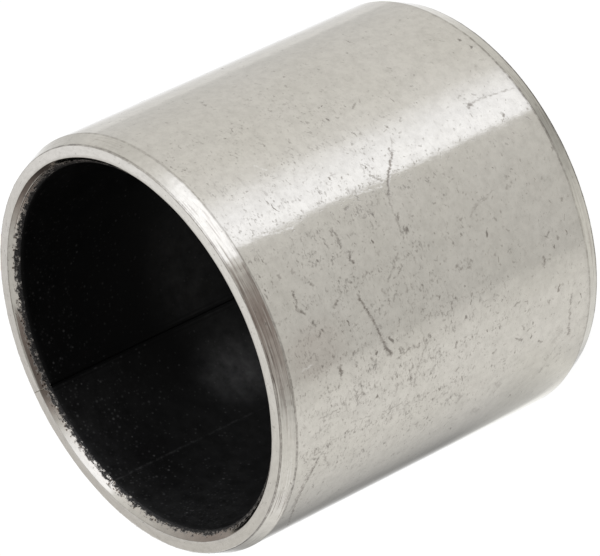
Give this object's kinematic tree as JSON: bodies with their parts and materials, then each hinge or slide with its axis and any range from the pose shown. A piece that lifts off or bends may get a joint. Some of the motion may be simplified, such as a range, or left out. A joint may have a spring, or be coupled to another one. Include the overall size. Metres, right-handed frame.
{
  "type": "wrapped bushing",
  "caption": "Thin-walled split steel sleeve with bevelled ends and a black low-friction lining, pressed into a housing to guide a round shaft.",
  "frame": {"origin": "centre of the bottom end, on the sleeve's axis", "axes": "+Z along the sleeve's axis, from the end it stands on to the other; -Y towards the butt joint"},
  "size_m": [0.032, 0.032, 0.0302],
  "materials": {
    "plated_steel": "satin tin plate on rolled steel strip, with fine pits and handling scratches",
    "black_lining": "black polymer compound rolled into sintered bronze, slightly waxy"
  },
  "bodies": {
    "root": {"steel_backing": "plated_steel", "sliding_lining": "black_lining"}
  },
  "joints": []
}
